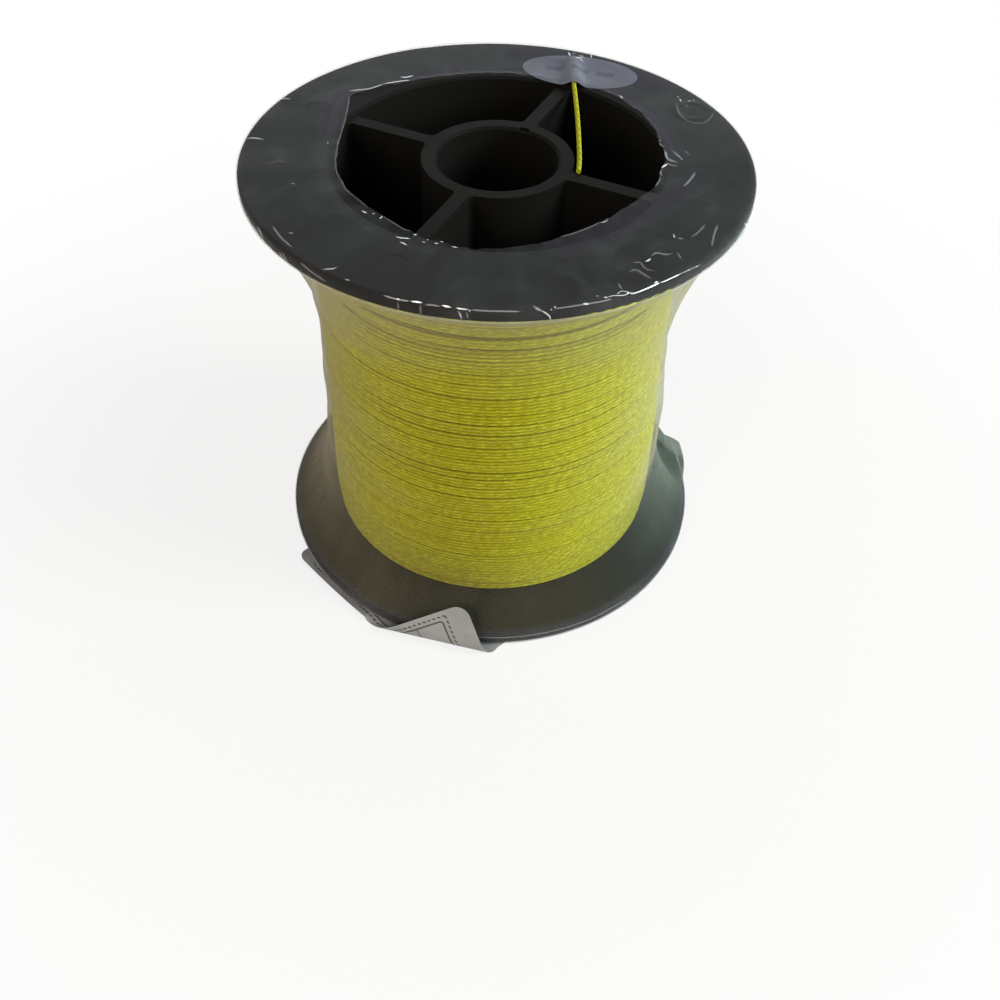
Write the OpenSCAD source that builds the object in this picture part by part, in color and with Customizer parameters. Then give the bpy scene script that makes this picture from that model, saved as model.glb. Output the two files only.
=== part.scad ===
// Filled line spool: two moulded halves, the wound line, its free end, a clear wrap and two labels.
// Origin on the spindle axis, on the surface that the spool stands on. +Z runs up the spindle bore.

/* [Spool] */
// Outer diameter of both flanges
flange_d = 75; // [64:0.5:100]
// Height over both flanges
spool_h = 70; // [60:1:110]
// Thickness of a flange
flange_t = 2; // [1.6:0.1:3]
// Rounding of a flange's rim
rim_round = 0.5; // [0.2:0.1:0.7]
// Outer diameter of the drum that the line is wound on
drum_d = 52.2; // [46:0.1:54]
// Wall of the drum at its open end
drum_wall = 1.35; // [1.2:0.05:2]
// Fillet between the drum and a flange
root_round = 1; // [0.4:0.1:1.5]
// Outer diameter of the hub at its open end
hub_d = 22.5; // [18:0.5:28]
// Diameter of the spindle bore
bore_d = 18; // [10:0.5:18]
// Chamfer at each mouth of the bore and of the drum
mouth_chamfer = 0.4; // [0.2:0.1:0.6]
// Number of ribs between hub and drum
rib_count = 4; // [3:1:8]
// Thickness of a rib at its open end
rib_t = 2.2; // [1.2:0.1:3]
// Rounding of the pocket corners beside the ribs
corner_round = 1; // [0.5:0.1:1.5]
// Step from a flange's face down to the hub and the ribs
core_step = 0.5; // [0:0.1:3]
// Draft of the moulded walls, in degrees
draft = 0.5; // [0.2:0.1:1]
// Hole in each flange that a line's end is led through
end_hole_d = 2.6; // [1.6:0.1:3]
// Where that hole lies between the line and the rim, as a share of the flange left free
end_hole_share = 0.3; // [0.2:0.05:0.6]
// Diameter of the marks that the ejector pins leave
pin_mark_d = 3.7; // [2:0.1:5]
// Depth of those marks
pin_mark_depth = 0.1; // [0.05:0.01:0.2]
// Width of the nick that the gate leaves in the bore's edge
gate_mark_w = 1.6; // [0.8:0.1:2.4]

/* [Joint between the halves] */
// How far the lower half's spigots reach into the upper half
spigot_h = 4; // [2:0.5:8]
// Thickness of the drum's spigot
drum_spigot_t = 0.7; // [0.6:0.05:0.8]
// Thickness of the hub's spigot
hub_spigot_t = 1.1; // [0.8:0.1:1.3]
// Radius of the snap bead on the drum's spigot
bead_r = 0.2; // [0.1:0.05:0.3]
// Clearance of the spigots in their sockets
joint_gap = 0.05; // [0.02:0.01:0.15]

/* [Line] */
// Outer diameter of the wound line
pack_d = 57; // [54:0.5:62]
// Thickness drawn for one turn of the outer layer
turn_d = 1.4; // [0.72:0.02:1.5]
// Turns drawn in the outer layer
turns = 24; // [12:1:24]
// Space between the outer layer and each flange
layer_end_gap = 2.4; // [1:0.2:4]
// Diameter of the line, as its free end shows it
line_d = 0.72; // [0.3:0.01:0.8]
// Thickness of the tape that holds the first turn
tape_t = 0.1; // [0.05:0.01:0.15]
// Width of that tape
tape_w = 12; // [6:1:20]
// Length of that tape round the drum
tape_len = 25; // [10:1:40]

/* [Clear wrap] */
// Thickness of the shrunk film
film_t = 0.12; // [0.05:0.01:0.2]
// Height over which the film draws in below the top flange
top_tent_h = 25; // [15:1:26]
// Height over which it spreads again above the bottom flange
bottom_tent_h = 27; // [15:1:28]

/* [Labels] */
// Thickness of the paper of both labels
paper_t = 0.1; // [0.06:0.01:0.12]
// Length of the oval sticker on the top flange
sticker_l = 19; // [12:0.5:24]
// Width of the oval sticker
sticker_w = 11; // [8:0.5:12]
// Length of the label under the bottom flange
label_l = 60; // [50:1:70]
// Width of that label
label_w = 40; // [30:1:50]
// Rounding of that label's corners
label_round = 2.5; // [1:0.5:4]
// Radius of the roll in the label's loose corner
curl_r = 1.8; // [1.4:0.1:2.4]
// How far the loose corner leans in over the rim, as a share of the clear wrap's own lean there
curl_lean = 0.7; // [0.2:0.1:0.9]

/* [Hidden] */
$fn = 96;

// Clearances between the loose layers, and a small overlap for cuts
film_gap = 0.15;
paper_gap = 0.03;
tape_gap = 0.08;
over = 1;

// Heights: the label and the film's lower lap lie between the ground and the bottom flange
base_z = paper_t + paper_gap + film_t + film_gap;
top_z = base_z + spool_h;
half_h = (spool_h - joint_gap) / 2;

// Radii of the mouldings; the walls grow towards the parting plane by the draft
flange_r = flange_d / 2;
drum_r = drum_d / 2;
hub_r = hub_d / 2;
bore_r = bore_d / 2;
mouth_r = drum_r - drum_wall;
taper = half_h * tan(draft);
spigot_r = mouth_r - taper + drum_spigot_t;
socket_r = spigot_r + joint_gap;
hub_spigot_r = bore_r + hub_spigot_t;
hub_socket_r = hub_spigot_r + joint_gap;
bead_z = half_h + spigot_h * 0.55;
fillet_h = half_h - core_step - spigot_h - over;
rib_turn = 45;

// The line's end hole lies under the sticker, just outside the line
end_hole_angle = 47.6;
end_hole = polar(pack_d / 2 + end_hole_share * (flange_d - pack_d) / 2, end_hole_angle);

// Wound line
turn_r = turn_d / 2;
coil_r = pack_d / 2 - turn_r;
rings_per_turn = 24;
coil_end_angle = 10;
coil_z0 = base_z + flange_t + layer_end_gap;
coil_z1 = top_z - flange_t - layer_end_gap;
core_in_r = drum_r + tape_t + 2 * tape_gap;
core_out_r = coil_r * cos(180 / rings_per_turn) - turn_r - 0.1;

// Route of the free end: off the outer layer, up through the flange, inwards over the open core
tail_route = [
    [27.1, 6.3, 66.0], [26.6, 9.4, 66.0], [25.7, 12.9, 66.1], [24.6, 16.2, 66.3],
    [23.2, 19.4, 66.6], [21.8, 21.9, 67.2], [21.2, 22.9, 68.2], [21.0, 23.0, 69.3],
    [20.8, 22.5, 70.5], [20.4, 21.3, 70.85], [19.7, 19.2, 70.85], [19.0, 17.2, 70.85],
    [18.1, 14.5, 70.7], [17.0, 11.2, 70.4], [15.8, 7.7, 70.1], [14.5, 4.2, 70.0],
    [13.2, 0.8, 70.0], [11.9, -2.5, 70.1], [10.7, -5.4, 70.2], [9.5, -8.0, 70.3]
];
tail_sides = 8;
tail_steps = 3;

// The sticker and the film bridge the line where it lies on the flange
ridge_from = end_hole + [0.6, 1.8];
ridge_to = end_hole + [-2.4, -7];

// Film: radii at the waist and at the rims, and the bend of the two tents
waist_r = pack_d / 2 + film_gap;
rim_film_r = flange_r - rim_round + (rim_round + film_gap) * cos(45);
top_bend = 14;
bottom_bend = 8;
lap_r = mouth_r - 3;

// Torn edge of the film's opening: [angle, distance outside the drum's mouth]
opening_edge = [
    [13, 1.3], [45, 1.3], [75, 1.8], [100, 2.2], [122, 5], [140, 2.2], [161, -1.6],
    [175, -0.8], [199, -1.4], [228, 0], [255, -0.7], [289, -1.9], [316, -0.7], [351, -0.3]
];
lower_opening_turn = 100;
ear_angle = -5;

// Sticker: centre and direction of its long axis
sticker_at = end_hole + [0.6, -2.1];
sticker_turn = -33;

// Base label: its long side points off at label_turn, its middle lies off the axis
label_turn = -155;
label_at = [8.25, 8.25];
// The loose corner rolls up about a line that touches the rim; fold_turn is that line's normal
fold_turn = 30.9;
fold_gap = -0.5;
fold_r = flange_r + fold_gap;
wrap_lean = atan((rim_film_r - waist_r) / bottom_bend * sinh(bottom_tent_h / bottom_bend)
    / (cosh(bottom_tent_h / bottom_bend) - 1));
curl_angle = 90 + curl_lean * wrap_lean;

function polar(r, a) = [r * cos(a), r * sin(a)];
function cosh(x) = (exp(x) + exp(-x)) / 2;
function sinh(x) = (exp(x) - exp(-x)) / 2;
function flat_list(lists) = [for (one = lists) for (item = one) item];
function unit(v) = v / norm(v);

// ---- spool halves, each drawn with its flange face down on z = 0 and its open joint at half_h

module rim_profile() {
    inner = mouth_r + mouth_chamfer;
    translate([inner, 0])
        square([flange_r - rim_round - inner, flange_t]);
    translate([inner, rim_round])
        square([flange_r - inner, flange_t - 2 * rim_round]);
    for (z = [rim_round, flange_t - rim_round])
        translate([flange_r - rim_round, z])
            circle(rim_round);
}

// Drum wall, with a spigot of the given height beyond the parting plane
module drum_profile(spigot) {
    inner = mouth_r - taper;
    tip = spigot > 0 ? [[spigot_r, half_h], [spigot_r, half_h + spigot], [inner, half_h + spigot]] : [];
    polygon(concat(
        [[mouth_r + mouth_chamfer, 0], [drum_r, 0], [drum_r, half_h]],
        tip,
        [[inner, half_h], [mouth_r, mouth_chamfer]]
    ));
    if (spigot > 0)
        intersection() {
            translate([spigot_r, bead_z])
                circle(bead_r, $fn = 32);
            translate([inner + drum_spigot_t / 2, half_h])
                square([drum_spigot_t, spigot]);
        }
    difference() {
        translate([drum_r - drum_wall / 2, flange_t - rim_round])
            square([drum_wall / 2 + root_round, root_round + rim_round]);
        translate([drum_r + root_round, flange_t + root_round])
            circle(root_round);
    }
}

module hub_profile(spigot) {
    tip = spigot > 0 ?
        [[hub_spigot_r, half_h], [hub_spigot_r, half_h + spigot], [bore_r, half_h + spigot]] :
        [[bore_r, half_h]];
    polygon(concat(
        [[bore_r + mouth_chamfer, core_step], [hub_r, core_step], [hub_r + taper, half_h]],
        tip,
        [[bore_r, core_step + mouth_chamfer]]
    ));
}

// Rib between hub and drum; its end stays just below the parting plane
module rib(angle) {
    inner = bore_r + (hub_r - bore_r) / 2;
    outer = mouth_r + drum_wall / 2;
    end = half_h - 2 * joint_gap;
    rotate([0, 0, angle])
        translate([inner, 0, 0])
            rotate([90, 0, 90])
                linear_extrude(outer - inner)
                    polygon([
                        [-rib_t / 2, core_step + mouth_chamfer], [-rib_t / 2, core_step],
                        [rib_t / 2, core_step], [rib_t / 2 + taper, end],
                        [-rib_t / 2 - taper, end]
                    ]);
}

// Fillets that round the pocket's corners on both sides of a rib, at the hub and at the drum.
// They stop short of the joint.
module corner_fillets(angle) {
    side = rib_t / 2 + corner_round;
    for (at = [[hub_r, 1], [mouth_r, -1]], s = [1, -1]) {
        wall = at[0];
        reach = wall + at[1] * corner_round;
        middle = [sqrt(reach * reach - side * side), side];
        touch = middle * wall / reach;
        rotate([0, 0, angle])
            translate([0, 0, core_step])
                linear_extrude(fillet_h)
                    scale([1, s])
                        difference() {
                            polygon([
                                [middle.x, rib_t / 2], middle, touch, touch - [at[1] * 0.3, 0.3],
                                [touch.x - at[1] * 0.3, rib_t / 2 - 0.3], [middle.x, rib_t / 2 - 0.3]
                            ]);
                            translate(middle)
                                circle(corner_round, $fn = 32);
                        }
    }
}

// A half without its sockets; the spigot's height is 0 on the upper one
module plain_half(spigot) {
    difference() {
        union() {
            rotate_extrude() rim_profile();
            rotate_extrude() drum_profile(spigot);
            rotate_extrude() hub_profile(spigot);
            for (i = [0 : rib_count - 1]) {
                rib(rib_turn + i * 360 / rib_count);
                corner_fillets(rib_turn + i * 360 / rib_count);
            }
        }
        translate([end_hole.x, end_hole.y, -over])
            cylinder(d = end_hole_d, h = flange_t + 2 * over);
        translate([end_hole.x, end_hole.y, -over])
            cylinder(r1 = end_hole_d / 2 + mouth_chamfer + over,
                     r2 = end_hole_d / 2, h = mouth_chamfer + over);
        for (i = [1 : rib_count - 1])
            rotate([0, 0, rib_turn + i * 360 / rib_count])
                translate([(flange_r + drum_r) / 2 - over, 0, -over])
                    cylinder(d = pin_mark_d, h = pin_mark_depth + over, $fn = 48);
        rotate([0, 0, rib_turn])
            translate([bore_r - over, -gate_mark_w / 2, core_step - over])
                cube([over + gate_mark_w / 2, gate_mark_w, over + gate_mark_w / 4]);
    }
}

// Room in the upper half for the spigots of the lower one
module sockets() {
    depth = spigot_h + joint_gap;
    rotate_extrude() {
        translate([mouth_r - taper - over, half_h - depth])
            square([socket_r - mouth_r + taper + over, depth + over]);
        translate([socket_r, 2 * half_h + joint_gap - bead_z])
            circle(bead_r, $fn = 32);
        translate([bore_r - over, half_h - depth])
            square([hub_socket_r - bore_r + over, depth + over]);
    }
}

module upper_half() {
    color("#232425")
        translate([0, 0, top_z])
            mirror([0, 0, 1])
                difference() {
                    plain_half(0);
                    sockets();
                }
}

module lower_half() {
    color("#232425")
        translate([0, 0, base_z])
            plain_half(spigot_h);
}

// ---- line

module starting_tape() {
    color("#c8c9b8")
        translate([0, 0, base_z + flange_t + root_round + tape_gap])
            rotate([0, 0, coil_end_angle])
                rotate_extrude(angle = tape_len / drum_r * 180 / PI)
                    translate([drum_r + tape_gap, 0])
                        square([tape_t, tape_w]);
}

module line_core() {
    color("#a9ab1c")
        translate([0, 0, base_z + flange_t + root_round])
            rotate_extrude()
                translate([core_in_r, 0])
                    square([core_out_r - core_in_r, spool_h - 2 * flange_t - 2 * root_round]);
}

// Triangles of a tube through rings of points, with both ends closed
module tube(rings) {
    sides = len(rings[0]);
    last = (len(rings) - 1) * sides;
    walls = [
        for (i = [0 : len(rings) - 2])
            for (k = [0 : sides - 1])
                let (a = i * sides + k, b = i * sides + (k + 1) % sides)
                    each [[a, b, b + sides], [a, b + sides, a + sides]]
    ];
    start_cap = [for (k = [1 : sides - 2]) [0, k + 1, k]];
    end_cap = [for (k = [1 : sides - 2]) [last, last + k, last + k + 1]];
    polyhedron(flat_list(rings), concat(walls, start_cap, end_cap));
}

// Middle of the outer layer at ring i, with one straight ring beyond each end
coil_rings = turns * rings_per_turn;
function coil_angle(i) = coil_end_angle + (i - coil_rings) * 360 / rings_per_turn;
function coil_point(i) =
    let (p = polar(coil_r, coil_angle(i)))
        [p.x, p.y, coil_z0 + (coil_z1 - coil_z0) * i / coil_rings];
function coil_ring(i) =
    let (
        at = min(max(i, 0), coil_rings),
        beyond = (i - at) * turn_d,
        out = polar(1, coil_angle(at)),
        middle = coil_point(at) + beyond * [-out.y, out.x, 0]
    )
    [
        for (k = [0 : 5])
            let (side = polar(turn_r, k * 60))
                middle + [out.x * side.x, out.y * side.x, side.y]
    ];

module line_outer_layer() {
    color("#d6da2a")
        tube([for (i = [-1 : coil_rings + 1]) coil_ring(i)]);
}

// Least gap between one turn and the next, measured on the middles of their rings
least_turn_gap = min([
    for (i = [0 : coil_rings - rings_per_turn])
        for (k = [-1 : 1])
            let (j = min(i + rings_per_turn + k, coil_rings))
                norm(coil_point(i) - coil_point(j)) - turn_d
]);
echo(least_turn_gap = least_turn_gap);

// Smooth curve through the route's points
function spline(p, i, t) =
    let (
        a = p[max(i - 1, 0)], b = p[i], c = p[i + 1], d = p[min(i + 2, len(p) - 1)]
    )
    (2 * b + (c - a) * t + (2 * a - 5 * b + 4 * c - d) * t * t
        + (3 * b - a - 3 * c + d) * t * t * t) / 2;
function smooth(p, steps) = concat(
    [for (i = [0 : len(p) - 2]) for (k = [0 : steps - 1]) spline(p, i, k / steps)],
    [p[len(p) - 1]]
);
function heading(p, i) = unit(p[min(i + 1, len(p) - 1)] - p[max(i - 1, 0)]);
function square_to(v, dir) = unit(v - (v * dir) * dir);

// Rings round a curve, each turned as little as possible from the one before
function sweep(p, r, sides) = [
    for (
        i = 0, across = square_to([0, 0, 1], heading(p, 0));
        i < len(p);
        i = i + 1, across = square_to(across, heading(p, min(i, len(p) - 1)))
    )
        let (up = cross(heading(p, i), across))
            [for (k = [0 : sides - 1]) p[i] + r * (cos(k * 360 / sides) * across
                + sin(k * 360 / sides) * up)]
];

module line_tail() {
    color("#e4ea30")
        tube(sweep(smooth(tail_route, tail_steps), line_d / 2, tail_sides));
}

// ---- clear wrap

// Radius of the film over a tent, at distance d from the waist
function tent_r(d, span, bend) =
    waist_r + (rim_film_r - waist_r) * (cosh(d / bend) - 1) / (cosh(span / bend) - 1);

// Arc round a flange's rim, from angle a0 to a1
function rim_arc(z, a0, a1) =
    [for (k = [0 : 3])
        [flange_r - rim_round, z] + polar(rim_round + film_gap, a0 + (a1 - a0) * k / 3)];

tent_steps = 10;
film_line = concat(
    [[lap_r, top_z + film_gap]],
    rim_arc(top_z - rim_round, 90, 0),
    rim_arc(top_z - flange_t + rim_round, 0, -45),
    [for (k = [1 : tent_steps])
        let (d = top_tent_h * (1 - k / tent_steps))
            [tent_r(d, top_tent_h, top_bend), top_z - flange_t - top_tent_h + d]],
    [for (k = [0 : tent_steps - 1])
        let (d = bottom_tent_h * k / tent_steps)
            [tent_r(d, bottom_tent_h, bottom_bend), base_z + flange_t + bottom_tent_h - d]],
    rim_arc(base_z + flange_t - rim_round, 45, 0),
    rim_arc(base_z + rim_round, 0, -90),
    [[lap_r, base_z - film_gap]]
);

// Outward normal of the film's line at point i
function film_normal(i) =
    let (
        dir = unit(film_line[min(i + 1, len(film_line) - 1)] - film_line[max(i - 1, 0)])
    )
    [-dir.y, dir.x];

module film_wall() {
    outer = [for (i = [0 : len(film_line) - 1]) film_line[i] + film_t * film_normal(i)];
    inner = [for (i = [len(film_line) - 1 : -1 : 0]) film_line[i]];
    rotate_extrude() polygon(concat(outer, inner));
}

// Rod along the line where it lies on the top flange, longer by extra at both ends
module ridge(r, extra) {
    step = ridge_to - ridge_from;
    translate([ridge_from.x, ridge_from.y, top_z + line_d / 5])
        rotate([0, 0, atan2(step.y, step.x)])
            rotate([0, 90, 0])
                translate([0, 0, -extra])
                    cylinder(r = r, h = norm(step) + 2 * extra, $fn = 32);
}

module opening(turn) {
    rotate([0, 0, turn])
        linear_extrude(4 * over, center = true)
            polygon([for (e = opening_edge) polar(mouth_r + e[1], e[0])]);
}

// Doubled film that stands out from the rim of the bottom flange
module film_ear() {
    rotate([0, 0, ear_angle])
        translate([flange_r, film_t, base_z])
            rotate([90, 0, 0])
                linear_extrude(2 * film_t)
                    polygon([
                        [0.2, 0.8], [1.1, 1.1], [1.6, 2.4], [1.4, 3.9], [0.1, 4.5],
                        [-1.8, 4.2], [-1.2, 3.0], [-0.1, 2.35], [0.2, 1.8]
                    ]);
}

module shrink_film() {
    bump_r = line_d + paper_t + film_gap;
    bump_end = paper_t + film_gap;
    color([0.85, 0.88, 0.86, 0.35])
        difference() {
            union() {
                film_wall();
                film_ear();
                intersection() {
                    ridge(bump_r + film_t, bump_end + film_t);
                    translate([0, 0, top_z + film_gap])
                        cylinder(r = flange_r, h = 3 * over);
                }
            }
            ridge(bump_r, bump_end);
            translate([0, 0, top_z])
                opening(0);
            translate([0, 0, base_z])
                opening(lower_opening_turn);
        }
}

// ---- labels

module oval_sticker() {
    bump_r = line_d;
    low = top_z + paper_gap / 2;
    color("#d9dbe4")
        difference() {
            intersection() {
                translate([sticker_at.x, sticker_at.y, low])
                    rotate([0, 0, sticker_turn])
                        linear_extrude(2 * over)
                            polygon([for (a = [0 : 7.5 : 359])
                                [sticker_l / 2 * cos(a), sticker_w / 2 * sin(a)]]);
                translate([0, 0, low])
                    cylinder(r = flange_r - rim_round, h = 2 * over);
                union() {
                    translate([0, 0, low])
                        cylinder(r = flange_r, h = paper_t);
                    ridge(bump_r + paper_t, paper_t);
                }
            }
            ridge(bump_r, 0);
        }
}

// Outline of the base label as a closed list of points
function label_outline(steps) = [
    for (c = [[1, 1], [-1, 1], [-1, -1], [1, -1]])
        for (k = [0 : steps])
            let (
                start = c == [1, 1] ? 0 : c == [-1, 1] ? 90 : c == [-1, -1] ? 180 : 270,
                middle = label_at + [
                    c[0] * (label_l / 2 - label_round), c[1] * (label_w / 2 - label_round)
                ]
            )
            middle + polar(label_round, start + 90 * k / steps)
];

// The same points as [distance along the fold's normal, place along the fold]
function to_fold(p) = [
    p.x * cos(fold_turn) + p.y * sin(fold_turn), p.y * cos(fold_turn) - p.x * sin(fold_turn)
];
label_points = [for (p = label_outline(4)) to_fold(p)];

// Places along the fold where the outline crosses distance d
function crossings(d) = [
    for (i = [0 : len(label_points) - 1])
        let (a = label_points[i], b = label_points[(i + 1) % len(label_points)])
            if ((a.x - d) * (b.x - d) <= 0 && a.x != b.x)
                a.y + (b.y - a.y) * (d - a.x) / (b.x - a.x)
];

function sorted(list) = len(list) < 2 ? list :
    let (pivot = list[0])
    concat(
        sorted([for (v = list) if (v < pivot) v]),
        [pivot],
        sorted([for (v = list) if (v > pivot) v])
    );

// Height and distance of the sheet's surface, at depth t in the paper and d along the flat sheet
function rolled(d, t) =
    let (
        turn = min(max(d - fold_r, 0) / curl_r * 180 / PI, curl_angle),
        rest = max(d - fold_r - curl_r * curl_angle * PI / 180, 0),
        r = curl_r - t
    )
    d < fold_r ? [d, t] :
        [fold_r + r * sin(turn) + rest * cos(turn), curl_r - r * cos(turn) + rest * sin(turn)];

function label_row(d) =
    let (
        across = crossings(d), a = min(across), b = max(across),
        under = rolled(d, 0), top = rolled(d, paper_t)
    )
    [for (q = [[under, a], [under, b], [top, b], [top, a]]) [q[0].x, q[1], q[0].y]];

label_ends = [min([for (p = label_points) p.x]), max([for (p = label_points) p.x])];
roll_len = curl_r * curl_angle * PI / 180;
label_ends_in = label_ends + [0.05, -0.05];
label_rows = sorted(concat(
    label_ends_in,
    [for (p = label_points) if (p.x > label_ends_in[0] + 0.05 && p.x < fold_r - 0.1) p.x],
    [for (k = [0 : 10]) fold_r + roll_len * k / 10],
    [for (k = [1 : 3]) fold_r + roll_len + (label_ends_in[1] - fold_r - roll_len) * k / 4]
));

module base_label() {
    color("#b4b6b0")
        rotate([0, 0, label_turn + fold_turn])
            tube([for (d = label_rows) if (d >= label_ends_in[0] && d <= label_ends_in[1]) label_row(d)]);
}

upper_half();
lower_half();
starting_tape();
line_core();
line_outer_layer();
line_tail();
shrink_film();
oval_sticker();
base_label();
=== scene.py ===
from math import atan2, cos, exp, hypot, pi, radians, sin

import bpy
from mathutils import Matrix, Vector, noise


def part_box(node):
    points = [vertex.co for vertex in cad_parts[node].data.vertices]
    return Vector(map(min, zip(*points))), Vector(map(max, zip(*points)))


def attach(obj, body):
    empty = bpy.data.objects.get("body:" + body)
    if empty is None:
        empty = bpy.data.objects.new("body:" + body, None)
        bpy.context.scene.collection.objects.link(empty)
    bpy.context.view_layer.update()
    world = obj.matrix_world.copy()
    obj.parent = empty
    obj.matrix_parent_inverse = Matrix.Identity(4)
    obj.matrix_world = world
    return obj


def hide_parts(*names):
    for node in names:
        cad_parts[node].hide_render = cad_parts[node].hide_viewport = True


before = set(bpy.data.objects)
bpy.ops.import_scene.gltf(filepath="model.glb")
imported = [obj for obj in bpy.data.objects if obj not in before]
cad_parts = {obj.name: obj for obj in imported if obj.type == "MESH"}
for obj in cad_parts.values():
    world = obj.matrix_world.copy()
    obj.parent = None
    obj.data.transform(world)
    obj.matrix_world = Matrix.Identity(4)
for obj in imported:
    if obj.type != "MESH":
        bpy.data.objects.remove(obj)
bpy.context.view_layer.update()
mm = 0.001
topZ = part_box("upper_half")[1][2] / mm     # top flange's face, in millimetres
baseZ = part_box("lower_half")[0][2] / mm    # bottom flange's face
print("frame loaded:", len(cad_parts), "nodes")

scene = bpy.context.scene
scene.view_settings.view_transform = "Standard"


# small helpers

def deselectAll():
    for obj in list(bpy.context.selected_objects):
        obj.select_set(False)


def pick(obj):
    deselectAll()
    obj.select_set(True)
    bpy.context.view_layer.objects.active = obj


def addNew(operator, name, **settings):
    deselectAll()
    operator(**settings)
    obj = bpy.context.object
    obj.name = name
    return obj


def editMode(obj):     # with all of it selected
    pick(obj)
    bpy.ops.object.mode_set(mode="EDIT")
    bpy.ops.mesh.select_mode(type="VERT")
    bpy.ops.mesh.select_all(action="SELECT")


def objectMode():
    bpy.ops.object.mode_set(mode="OBJECT")


def linkMesh(name, verts, edges, faces):     # verts in millimetres
    mesh = bpy.data.meshes.new(name)
    mesh.from_pydata([Vector(v) * mm for v in verts], edges, faces)
    obj = bpy.data.objects.new(name, mesh)
    scene.collection.objects.link(obj)
    return obj


def faceOutwards(obj):
    editMode(obj)
    bpy.ops.mesh.normals_make_consistent(inside=False)
    objectMode()


def cutAcross(obj, direction, places):     # leaves the sheet whole, with an edge at each place
    for place in places:
        editMode(obj)
        bpy.ops.mesh.bisect(plane_co=place, plane_no=direction)
        objectMode()


def thicken(obj, thickness):     # in millimetres, half of it to each side
    wall = obj.modifiers.new("wall", "SOLIDIFY")
    wall.thickness = thickness * mm
    wall.offset = 0
    pick(obj)
    bpy.ops.object.modifier_apply(modifier=wall.name)


def smooth(obj, sharpest):     # edges over this many degrees stay sharp
    pick(obj)
    bpy.ops.object.shade_smooth_by_angle(angle=radians(sharpest))


def mapSheet(obj, toMap):     # flat map in millimetres, turned with the sheet
    uvs = obj.data.uv_layers.active or obj.data.uv_layers.new(name="paper")
    for loop, spot in zip(obj.data.loops, uvs.data):
        spot.uv = toMap(obj.data.vertices[loop.vertex_index].co)


def settle(obj):     # the place goes into the mesh
    pick(obj)
    bpy.ops.object.transform_apply(location=True, rotation=True, scale=True)


def finishPiece(obj, material, node):
    obj.data.materials.clear()
    obj.data.materials.append(material)
    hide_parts(node)
    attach(obj, "root")
    print("piece", obj.name, len(obj.data.polygons), "faces")


def clamp(x, low=0.0, high=1.0):
    return min(max(x, low), high)


def smoothStep(a, b, x):
    t = clamp((x - a) / (b - a))
    return t * t * (3 - 2 * t)


def bump(x, middle, width):
    return exp(-((x - middle) / width) ** 2)


def knotCurve(knots, x):     # smooth curve through (x, y) knots
    if x <= knots[0][0]:
        return knots[0][1]
    for i in range(len(knots) - 1):
        if x <= knots[i + 1][0]:
            x0, y0 = knots[i]
            x1, y1 = knots[i + 1]
            before = knots[i - 1] if i else knots[i]
            after = knots[i + 2] if i + 2 < len(knots) else knots[i + 1]
            m0 = (y1 - before[1]) / (x1 - before[0])
            m1 = (after[1] - y0) / (after[0] - x0)
            t, w = (x - x0) / (x1 - x0), x1 - x0
            return ((2 * t ** 3 - 3 * t ** 2 + 1) * y0 + (t ** 3 - 2 * t ** 2 + t) * w * m0
                    + (3 * t ** 2 - 2 * t ** 3) * y1 + (t ** 3 - t ** 2) * w * m1)
    return knots[-1][1]


def roundKnots(knots, degrees):     # closed curve through (degrees, value) knots
    turned = [(a - 360, v) for a, v in knots[-2:]] + list(knots) + [(a + 360, v) for a, v in knots[:2]]
    return knotCurve(turned, degrees % 360)


def turnBetween(degrees, middle):     # signed, the short way round
    return (degrees - middle + 180) % 360 - 180


def polar(degrees, radius):
    return Vector((radius * cos(radians(degrees)), radius * sin(radians(degrees)), 0))


def fuzz(x, y, z):
    return noise.noise(Vector((x, y, z)))


# node helpers

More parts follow.
